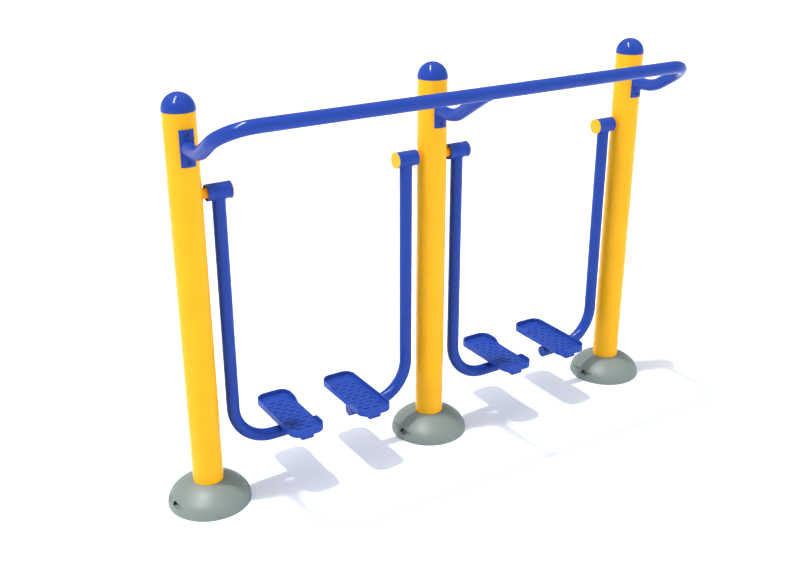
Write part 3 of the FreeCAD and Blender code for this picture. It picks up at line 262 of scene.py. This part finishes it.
def sealed_bearing(name):
    """Ground steel rings round a black rubber seal, told apart by their distance from the hub's axis."""
    seal_inside = 17.02 * MM
    seal_outside = 22.7 * MM
    surface = Surface(name, BARE_STEEL, 0.25)
    axis_level = middle(next(iter(LEGS)) + "_hub").z
    place = surface.add("ShaderNodeSeparateXYZ", Vector=surface.place)
    across = surface.maths("POWER", place.outputs["Y"], 2.0)
    up = surface.maths("POWER", surface.maths("SUBTRACT", place.outputs["Z"], axis_level), 2.0)
    radius = surface.maths("SQRT", surface.maths("ADD", across, up))
    outer_ring = surface.maths("GREATER_THAN", radius, seal_outside)
    inner_ring = surface.maths("LESS_THAN", radius, seal_inside)
    metal = surface.maths("MAXIMUM", outer_ring, inner_ring)
    surface.feed(surface.shader.inputs["Metallic"], metal)
    surface.colour(surface.blend(metal, shade(SEAL_RUBBER, 1.0), shade(BARE_STEEL, 1.0)))
    surface.roughness(surface.spread(metal, 0.55, 0.28, from_low=0.0, from_high=1.0))
    surface.bump(surface.noise(900.0, detail=2.0), 0.03 * MM)
    return surface.material


def studio_floor(name):
    """Plain pale floor with a trace of texture."""
    surface = Surface(name, FLOOR_PALE, 0.6, Specular_IOR_Level=0.12)
    cloud = surface.spread(surface.noise(1.5, detail=2.0), 0.0, 1.0)
    darker = (*(channel - 0.005 for channel in FLOOR_PALE), 1)
    lighter = (*(channel + 0.005 for channel in FLOOR_PALE), 1)
    surface.colour(surface.blend(cloud, darker, lighter))
    return surface.material


def make_materials():
    """One material for each slot of the record."""
    return {
        "post_paint": powder_coat("post_powder_coat", YELLOW),
        "cap_paint": powder_coat("cap_powder_coat", BLUE, peel=0.008 * MM, roughness=0.12),
        # The axle stubs' deeper orange is painted shade.
        "axle_paint": powder_coat("axle_powder_coat", AXLE_YELLOW_PAINTED_SHADE, peel=0.008 * MM),
        "rail_paint": powder_coat("rail_powder_coat", BLUE),
        "plate_paint": powder_coat("plate_powder_coat", BLUE, peel=0.008 * MM),
        "leg_paint": powder_coat("leg_powder_coat", BLUE),
        # The pedals' lighter blue is painted light.
        "pedal_paint": cast_coat("pedal_coat", PEDAL_BLUE_PAINTED_LIGHT),
        "hub_cap_plastic": moulded_gloss("hub_cap_plastic_gloss", YELLOW),
        "cover_plastic": moulded_cover("cover_moulding"),
        "galvanised_steel": spangled_zinc("galvanised_plate"),
        "black_steel": black_oxide("black_oxide_fastener"),
        "zinc_steel": turned_steel("zinc_plated_steel", 0.95, 0.36),
        "bearing_steel": sealed_bearing("sealed_bearing"),
    }


def dress_nodes():
    """Every CAD node takes the material of its slot. The plate bolts are painted darker than their plates,
    as painted shade for their sockets.
    """
    for entry in frame["record"]["subparts"]:
        mesh = frame["nodes"][entry["node"]].data
        mesh.materials.clear()
        mesh.materials.append(materials[entry["material_slot"]])
    # The bolts' darker blue is painted shade.
    bolt_coat = powder_coat("bolt_coat", BOLT_BLUE_PAINTED_SHADE, peel=0.006 * MM, roughness=0.22)
    frame["nodes"]["rail_plate_bolts"].data.materials[0] = bolt_coat


# Mesh tools

CREASE = math.radians(34)


def new_object(name, form, material):
    """An object in the scene from a finished bmesh."""
    mesh = bpy.data.meshes.new(name)
    form.to_mesh(mesh)
    form.free()
    mesh.materials.append(material)
    thing = bpy.data.objects.new(name, mesh)
    bpy.context.scene.collection.objects.link(thing)
    return thing


def new_piece(name, form, material_slot, body):
    """A piece from a finished bmesh: smooth, but for edges sharper than the crease."""
    bmesh.ops.recalc_face_normals(form, faces=form.faces)
    for face in form.faces:
        face.smooth = True
    for edge in form.edges:
        edge.smooth = len(edge.link_faces) == 2 and edge.calc_face_angle() < CREASE
    piece = new_object(name, form, materials[material_slot])
    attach(piece, body)
    return piece


def add_loop(form, points):
    return [form.verts.new(point) for point in points]


def bridge(form, first, second):
    """Faces between two closed loops of as many points."""
    count = len(first)
    for index in range(count):
        following = (index + 1) % count
        form.faces.new((first[index], first[following], second[following], second[index]))


def wall(form, rings):
    """Join closed loops one after another, and give back the first and the last."""
    loops = [add_loop(form, ring) for ring in rings]
    for first, second in zip(loops, loops[1:]):
        bridge(form, first, second)
    return loops[0], loops[-1]


def stack(form, rings):
    """Join closed loops one after another, and close both ends."""
    for end in wall(form, rings):
        form.faces.new(end)


def fill_around(form, outline, holes):
    """A flat face inside an outline, with holes left open in it."""
    edges = []
    for loop in (outline, *holes):
        edges += [form.edges.get((loop[index - 1], loop[index])) for index in range(len(loop))]
    bmesh.ops.triangle_fill(form, use_beauty=True, edges=edges)


def circle(centre, radius, steps):
    spokes = [2 * math.pi * step / steps for step in range(steps)]
    return [centre + Vector((radius * math.cos(angle), radius * math.sin(angle), 0)) for angle in spokes]


def add_box(form, centre, extent, chamfer):
    """A box with its upright edges left sharp and its top and bottom edges eased."""
    corners = ((-1, -1), (1, -1), (1, 1), (-1, 1))
    rings = []
    for height, inset in ((-0.5, chamfer), (-0.5, 0), (0.5, 0), (0.5, chamfer)):
        reach = Vector((extent.x / 2 - inset, extent.y / 2 - inset, 0))
        rise = extent.z * height
        if inset == 0:
            rise -= math.copysign(chamfer, height)
        rings.append([centre + Vector((x * reach.x, y * reach.y, rise)) for x, y in corners])
    stack(form, rings)


# Welds

# Radii of the beads: at the necks of legs and rail, at brackets, axles and the support arm,
# and at the closed ends.
LARGE_BEAD = 2.6 * MM
SMALL_BEAD = 2.2 * MM
END_BEAD = 1.3 * MM

BEAD_SIDES = 10
END_BEAD_STEPS = 72

# The ripple turns by this angle from one ring to the next, and swells the radius by this share.
RIPPLE_TURN = 1.9
RIPPLE_SWELL = 0.13

# An open bead's first and last ring have this share of its radius.
END_TAPER = 0.35

# A bracket's bead runs this many steps of this angle to each side of the leg's top.
BRACKET_BEAD_STEPS = 9
BRACKET_BEAD_TURN = 0.055

# The support arm slopes down to the post. It is as thick as the rail, and its bead takes this
# share of the rail's radius, so that the bead's path has no corner.
SUPPORT_ARM_SLOPE = math.radians(31.3)
SUPPORT_ARM_BEAD_SHARE = 0.985


def bead_rings(path, outwards, radius, closed):
    """Rings of a weld bead along a path. outwards is a direction across it at each point."""
    rings = []
    count = len(path)
    for index, (point, side) in enumerate(zip(path, outwards)):
        before = path[(index - 1) % count] if closed or index else point
        after = path[(index + 1) % count] if closed or index + 1 < count else point
        along = (after - before).normalized()
        up = along.cross(side).normalized()
        swell = 1 + RIPPLE_SWELL * math.sin(RIPPLE_TURN * index)
        taper = 1.0 if closed or 0 < index < count - 1 else END_TAPER
        ring = []
        for step in range(BEAD_SIDES):
            angle = 2 * math.pi * step / BEAD_SIDES
            ring.append(point + (side * math.cos(angle) + up * math.sin(angle)) * (radius * swell * taper))
        rings.append(ring)
    return rings


def add_bead(form, path, outwards, radius, closed=True):
    """A bead along a path that closes on itself, or one with tapered ends."""
    rings = bead_rings(path, outwards, radius, closed)
    if not closed:
        stack(form, rings)
        return
    loops = [add_loop(form, ring) for ring in rings]
    for index in range(len(loops)):
        bridge(form, loops[index - 1], loops[index])


def saddle(centre, along, cylinder_axis, tube_radius, cylinder_radius, steps=96):
    """Where a round tube that leaves along a direction meets a cylinder that it stands on."""
    across = along.cross(cylinder_axis)
    path = []
    outwards = []
    for step in range(steps):
        angle = 2 * math.pi * step / steps
        side = cylinder_axis * math.cos(angle) + across * math.sin(angle)
        depth = math.sqrt(cylinder_radius ** 2 - (tube_radius * math.sin(angle)) ** 2)
        path.append(centre + side * tube_radius + along * depth)
        outwards.append(side)
    return path, outwards


def weld_legs():
    """Beads round each leg under its hub, on the pedal bracket's saddle and round the closed end."""
    for leg, (_, side) in LEGS.items():
        form = bmesh.new()
        hub = middle(leg + "_hub")
        hub_radius = size(leg + "_hub").z / 2
        tube_radius = size(leg + "_leg").y / 2
        path, outwards = saddle(hub, -Z, X, tube_radius, hub_radius)
        add_bead(form, path, outwards, LARGE_BEAD)
        low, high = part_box(leg + "_leg")
        foot = Vector((0, 0, low.z + tube_radius))
        bracket_low, bracket_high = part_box(leg + "_pedal_bracket")
        turns = [BRACKET_BEAD_TURN * step for step in range(-BRACKET_BEAD_STEPS, BRACKET_BEAD_STEPS + 1)]
        arc = [Y * math.sin(turn) + Z * math.cos(turn) for turn in turns]
        for x in (bracket_low.x, bracket_high.x):
            path = [X * x + foot + ray * tube_radius for ray in arc]
            add_bead(form, path, arc, SMALL_BEAD, closed=False)
        end = (high.x if side > 0 else low.x) - side * END_BEAD
        turns = [2 * math.pi * step / END_BEAD_STEPS for step in range(END_BEAD_STEPS)]
        rim = [Y * math.cos(turn) + Z * math.sin(turn) for turn in turns]
        path = [X * end + foot + ray * (tube_radius - 2 * END_BEAD) for ray in rim]
        add_bead(form, path, rim, END_BEAD)
        new_piece(leg + "_welds", form, "leg_paint", leg + "_leg_assembly")


def weld_frame():
    """Beads of the axle stubs, the rail's necks and the support arm."""
    axle_form = bmesh.new()
    rail_form = bmesh.new()
    axle_radius = size("left_axle").z / 2
    rail_radius = size("rail_support_arm").x / 2
    for leg, (post, side) in LEGS.items():
        post_centre = middle(post + "_post")
        centre = Vector((post_centre.x, 0, middle(leg + "_hub").z))
        path, outwards = saddle(centre, X * side, Z, axle_radius, size(post + "_post").x / 2)
        add_bead(axle_form, path, outwards, SMALL_BEAD)
    for post in POSTS:
        plate = middle(post + "_rail_plate")
        face = abs(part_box(post + "_rail_plate")[0].y)
        path, outwards = saddle(Vector((plate.x, 0, plate.z)), -Y, Z, rail_radius, face)
        add_bead(rail_form, path, outwards, LARGE_BEAD)
    rail_low, rail_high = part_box("handrail")
    joint = Vector((0, rail_low.y + rail_radius, rail_high.z - rail_radius))
    back = Y * math.cos(SUPPORT_ARM_SLOPE) - Z * math.sin(SUPPORT_ARM_SLOPE)
    path, outwards = saddle(joint, back, X, rail_radius * SUPPORT_ARM_BEAD_SHARE, rail_radius)
    add_bead(rail_form, path, outwards, SMALL_BEAD)
    new_piece("axle_welds", axle_form, "axle_paint", "frame")
    new_piece("rail_welds", rail_form, "rail_paint", "frame")


# Pedals

# Heights above the pedal's lowest edge, and sizes of its rim.
FLOOR_UNDER = 3.5 * MM
FLOOR_TOP = 7.5 * MM
RIM_WALL = 5 * MM
RIM_ROUND = 2.1 * MM
RIM_FOOT_OUTSIDE = 0.9 * MM
RIM_FOOT_INSIDE = 0.4 * MM
COVE = 5 * MM
CORNER = 42 * MM

# The most that the inner round and the cove take of the rim's height above the floor.
ROUND_SHARE = 0.4
COVE_SHARE = 0.55

# The low stretch of the rim: its height, half its length, and the length of the slope at each end.
DIP_LEVEL = 9 * MM
DIP_HALF = 60 * MM
DIP_SLOPE = 36 * MM

CORNER_STEPS = 12
LONG_SIDE_STEPS = 54
SHORT_SIDE_STEPS = 6
ROUND_STEPS = 4
COVE_STEPS = 5

CLEAT_LENGTH = 25 * MM
CLEAT_WIDTH = 7 * MM
CLEAT_HEIGHT = 2.2 * MM
CLEAT_SPACING = 40 * MM
CLEAT_ROWS = 11
CLEAT_PITCH = 23.1 * MM
CLEAT_END_STEPS = 6

# Drain holes lie along both sides, and in pairs at both ends.
DRAIN_RADIUS = 3.2 * MM
DRAIN_EASE = 0.6 * MM
SIDE_DRAIN_X = 51 * MM
END_DRAIN_X = 22 * MM
END_DRAIN_Y = 155 * MM
DRAIN_SIDES = 20

RIB_THICKNESS = 5 * MM
RIB_EASE = 0.4 * MM
LONG_RIB_X = 19 * MM
BOSS_RADIUS = 10 * MM
BOSS_EASE = 0.5 * MM
BOSS_Y = 100 * MM
BOSS_SIDES = 32

# How far cleats and ribs reach into the floor that they grow out of.
CLEAT_ROOT = 0.2 * MM
RIB_ROOT = 0.3 * MM


def tray_outline(half_width, half_length):
    """Points round the pedal, closer together along the two long sides, where the rim dips."""
    x = half_width - CORNER
    y = half_length - CORNER
    points = []
    for quarter, (sign_x, sign_y) in enumerate(((1, 1), (-1, 1), (-1, -1), (1, -1))):
        for step in range(CORNER_STEPS):
            angle = math.pi / 2 * (quarter + step / CORNER_STEPS)
            points.append((sign_x * x + CORNER * math.cos(angle), sign_y * y + CORNER * math.sin(angle)))
        along_y = quarter % 2 == 1
        edge = math.pi / 2 * (quarter + 1)
        start = Vector((sign_x * x + CORNER * math.cos(edge), sign_y * y + CORNER * math.sin(edge)))
        run = Vector((0, -2 * y * sign_y)) if along_y else Vector((-2 * x * sign_x, 0))
        pieces = LONG_SIDE_STEPS if along_y else SHORT_SIDE_STEPS
        for step in range(pieces):
            points.append(tuple(start + run * (step / pieces)))
    return points


def inset_point(point, half_width, half_length, inset):
    """A point of the outline moved inwards, square to the edge or along a corner's radius."""
    x, y = point
    core_x = half_width - CORNER
    core_y = half_length - CORNER
    nearest = Vector((min(max(x, -core_x), core_x), min(max(y, -core_y), core_y)))
    outwards = (Vector(point) - nearest).normalized()
    return Vector(point) - outwards * inset


def rim_height(x, y, side, rise):
    """Height of the rim: it dips in the middle of the side that faces the other pedal."""
    if x * side < 0:
        return rise
    part = min(max((abs(y) - DIP_HALF) / DIP_SLOPE, 0), 1)
    smooth = part * part * (3 - 2 * part)
    return DIP_LEVEL + (rise - DIP_LEVEL) * smooth


def quarter_turn(pieces):
    """Cosine and sine of angles from 0 to 90 degrees."""
    for step in range(pieces + 1):
        angle = math.pi / 2 * step / pieces
        yield math.cos(angle), math.sin(angle)


def rim_profile(height):
    """Section through the rim as (inset, z), from the underside's edge over the top to the floor."""
    wall_height = height - FLOOR_TOP
    inner_round = min(RIM_ROUND, ROUND_SHARE * wall_height)
    cove = min(COVE, COVE_SHARE * wall_height)
    section = [
        (RIM_WALL, FLOOR_UNDER),
        (RIM_WALL, RIM_FOOT_INSIDE),
        (RIM_WALL - RIM_FOOT_INSIDE, 0),
        (RIM_FOOT_OUTSIDE, 0),
        (0, RIM_FOOT_OUTSIDE),
    ]
    for cosine, sine in quarter_turn(ROUND_STEPS):
        section.append((RIM_ROUND * (1 - cosine), height - RIM_ROUND * (1 - sine)))
    for cosine, sine in quarter_turn(ROUND_STEPS):
        section.append((RIM_WALL - inner_round * (1 - sine), height - inner_round * (1 - cosine)))
    for cosine, sine in quarter_turn(COVE_STEPS):
        section.append((RIM_WALL + cove * (1 - cosine), FLOOR_TOP + cove * (1 - sine)))
    return section


def add_tray(form, origin, half_width, half_length, side, rise):
    """The pedal's rim and its floor, pierced by the drain holes."""
    outer = tray_outline(half_width, half_length)
    sections = [rim_profile(rim_height(x, y, side, rise)) for x, y in outer]
    rings = []
    for level in range(len(sections[0])):
        ring = []
        for index, section in enumerate(sections):
            inset, z = section[level]
            x, y = inset_point(outer[index], half_width, half_length, inset)
            ring.append(origin + Vector((x, y, z)))
        rings.append(ring)
    underside, floor = wall(form, rings)
    drains = [add_drain(form, origin + place) for place in drain_places()]
    fill_around(form, underside, [low for low, _ in drains])
    fill_around(form, floor, [high for _, high in drains])


def drain_places():
    """Middles of the drain holes: one at both ends of each row of two cleats, and two at each end."""
    for side in (-1, 1):
        for row in range(0, CLEAT_ROWS, 2):
            yield Vector((side * SIDE_DRAIN_X, row_place(row), 0))
        for end in (-1, 1):
            yield Vector((side * END_DRAIN_X, end * END_DRAIN_Y, 0))


def add_drain(form, centre):
    """The wall of a drain hole with its upper edge eased, as its lowest and highest loops."""
    levels = (
        (FLOOR_UNDER, DRAIN_RADIUS),
        (FLOOR_TOP - DRAIN_EASE, DRAIN_RADIUS),
        (FLOOR_TOP, DRAIN_RADIUS + DRAIN_EASE),
    )
    return wall(form, [circle(centre + Z * level, radius, DRAIN_SIDES) for level, radius in levels])


def row_place(row):
    """Where a row of cleats lies along the pedal. The middle row is over the leg."""
    return (row - (CLEAT_ROWS - 1) / 2) * CLEAT_PITCH


def cleat_places():
    """Middles of the cleats: rows of two and of three in turn."""
    for row in range(CLEAT_ROWS):
        count = 2 if row % 2 == 0 else 3
        for column in range(count):
            yield (column - (count - 1) / 2) * CLEAT_SPACING, row_place(row)


def add_cleat(form, centre):
    """A round-ended bar with an eased top. Its section is given as (z, inset)."""
    straight = (CLEAT_LENGTH - CLEAT_WIDTH) / 2
    section = (
        (-CLEAT_ROOT, 0),
        (0.7 * CLEAT_HEIGHT, 0.05 * MM),
        (0.93 * CLEAT_HEIGHT, 0.25 * MM),
        (CLEAT_HEIGHT, 0.7 * MM),
    )
    rings = []
    for z, inset in section:
        radius = CLEAT_WIDTH / 2 - inset
        ring = []
        for end, turn in ((1, -math.pi / 2), (-1, math.pi / 2)):
            for step in range(CLEAT_END_STEPS + 1):
                angle = turn + math.pi * step / CLEAT_END_STEPS
                x = end * straight + radius * math.cos(angle)
                ring.append(centre + Vector((x, radius * math.sin(angle), z)))
        rings.append(ring)
    stack(form, rings)


def add_underside(form, origin, half_width):
    """Ribs and bolt bosses in the hollow under the floor. The ribs pass between the drain holes."""
    depth = FLOOR_UNDER + RIB_ROOT
    centre = origin + Z * (depth / 2)
    cross_rows = range(1, CLEAT_ROWS, 2)
    for row in cross_rows:
        rib = Vector((2 * (half_width - RIM_WALL), RIB_THICKNESS, depth))
        add_box(form, centre + Y * row_place(row), rib, RIB_EASE)
    for side in (-1, 1):
        rib = Vector((RIB_THICKNESS, 2 * row_place(cross_rows[-1]) + RIB_THICKNESS, depth))
        add_box(form, centre + X * (side * LONG_RIB_X), rib, RIB_EASE)
        boss = origin + Y * (side * BOSS_Y)
        levels = ((0, BOSS_RADIUS - BOSS_EASE), (BOSS_EASE, BOSS_RADIUS), (depth, BOSS_RADIUS))
        stack(form, [circle(boss + Z * level, radius, BOSS_SIDES) for level, radius in levels])


def make_pedals():
    """Cast trays with a rounded rim and drain holes, in place of the plainer CAD ones."""
    for leg, (_, side) in LEGS.items():
        low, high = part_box(leg + "_pedal")
        origin = Vector(((low.x + high.x) / 2, (low.y + high.y) / 2, low.z))
        half_width = (high.x - low.x) / 2
        half_length = (high.y - low.y) / 2
        form = bmesh.new()
        add_tray(form, origin, half_width, half_length, side, high.z - low.z)
        for x, y in cleat_places():
            add_cleat(form, Vector((origin.x + x, y, origin.z + FLOOR_TOP)))
        add_underside(form, origin, half_width)
        piece = new_piece(leg + "_pedal_casting", form, "pedal_paint", leg + "_leg_assembly")
        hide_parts(leg + "_pedal")


# Studio

# Half the side of the studio floor, in metres.
FLOOR_REACH = 400

# The ceiling strip's height, width and power, and its ends as (x, y) for each metre of height.
STRIP_HEIGHT = 30
STRIP_WIDTH = 1.1
STRIP_POWER = 30000
STRIP_ENDS = ((-0.74, -0.45), (-0.02, 0.30))

# Distant lamps: name, azimuth, elevation and width in degrees, and strength.
LAMPS = (
    ("key", 160, 78, 2.4, 2.6),
    ("low_left_softbox", 183, 12, 22, 0.6),
    ("left_softbox", 165, 20, 42, 1.0),
    ("high_left_softbox", 165, 50, 30, 0.5),
    ("right_softbox", 300, 15, 42, 1.6),
)

# The world's grey levels, by the sine of the elevation.
SKY = ((0.0, 1.0), (0.12, 0.68), (0.45, 0.3), (0.9, 1.0))

# The camera, with its lens in millimetres, its place in metres and its angles in degrees.
SENSOR_WIDTH = 36
FOCAL_LENGTH = 46.79
CAMERA_PLACE = (-2.1574, -3.2002, 2.2530)
CAMERA_TILT = 67.6
CAMERA_TURN = -32.19


def make_floor():
    """A floor so wide that its edge lies at the horizon."""
    form = bmesh.new()
    bmesh.ops.create_grid(form, x_segments=2, y_segments=2, size=FLOOR_REACH)
    floor = new_object("studio_floor", form, studio_floor("floor_paint"))


def add_light(name, kind, facing, energy, place=(0, 0, 0)):
    """A light at a place, shining along a direction."""
    light = bpy.data.lights.new(name, kind)
    light.energy = energy
    lamp = bpy.data.objects.new(name, light)
    lamp.location = place
    lamp.rotation_euler = Vector(facing).to_track_quat("-Z", "Y").to_euler()
    bpy.context.scene.collection.objects.link(lamp)
    return lamp


def make_light():
    """A small key high on the left, softboxes on the left and at the right front, and a ceiling strip."""
    for name, azimuth, elevation, width, strength in LAMPS:
        lamp = add_light(name, "SUN", travel(azimuth, elevation), strength)
        lamp.data.angle = math.radians(width)
        lamp.visible_glossy = False
    add_strip()
    make_studio_world()


def travel(azimuth, elevation):
    """Direction in which light travels that comes from a place in the sky."""
    turn = math.radians(azimuth)
    rise = math.radians(elevation)
    return -Vector((math.cos(rise) * math.cos(turn), math.cos(rise) * math.sin(turn), math.sin(rise)))


def add_strip():
    """A long ceiling strip that only reflections show."""
    first, second = (Vector((*end, 1)) * STRIP_HEIGHT for end in STRIP_ENDS)
    run = second - first
    strip = add_light("strip", "AREA", -Z, STRIP_POWER, (first + second) / 2)
    strip.data.shape = "RECTANGLE"
    strip.data.size = run.length
    strip.data.size_y = STRIP_WIDTH
    strip.rotation_euler = (0, 0, math.atan2(run.y, run.x))
    strip.visible_diffuse = False


def make_studio_world():
    """Bright overhead and at the horizon, darker in between."""
    world = bpy.data.worlds.new("studio")
    bpy.context.scene.world = world
    world.use_nodes = True
    nodes = world.node_tree.nodes
    links = world.node_tree.links
    direction = nodes.new("ShaderNodeTexCoord")
    parts = nodes.new("ShaderNodeSeparateXYZ")
    ramp = nodes.new("ShaderNodeValToRGB")
    links.new(direction.outputs["Generated"], parts.inputs[0])
    links.new(parts.outputs["Z"], ramp.inputs["Fac"])
    stops = ramp.color_ramp.elements
    for height, _ in SKY[2:]:
        stops.new(height)
    for stop, (height, level) in zip(stops, SKY):
        stop.position = height
        stop.color = (level, level, level, 1)
    background = nodes["Background"]
    links.new(ramp.outputs["Color"], background.inputs["Color"])
    background.inputs["Strength"].default_value = 1.0


def make_camera():
    """The photograph's viewpoint."""
    lens = bpy.data.cameras.new("camera")
    lens.sensor_width = SENSOR_WIDTH
    lens.lens = FOCAL_LENGTH
    camera = bpy.data.objects.new("camera", lens)
    camera.location = CAMERA_PLACE
    camera.rotation_euler = (math.radians(CAMERA_TILT), 0, math.radians(CAMERA_TURN))
    bpy.context.scene.collection.objects.link(camera)
    bpy.context.scene.camera = camera
    bpy.context.scene.view_settings.view_transform = "Standard"


materials = make_materials()
dress_nodes()
weld_legs()
weld_frame()
make_pedals()
make_floor()
make_light()
make_camera()
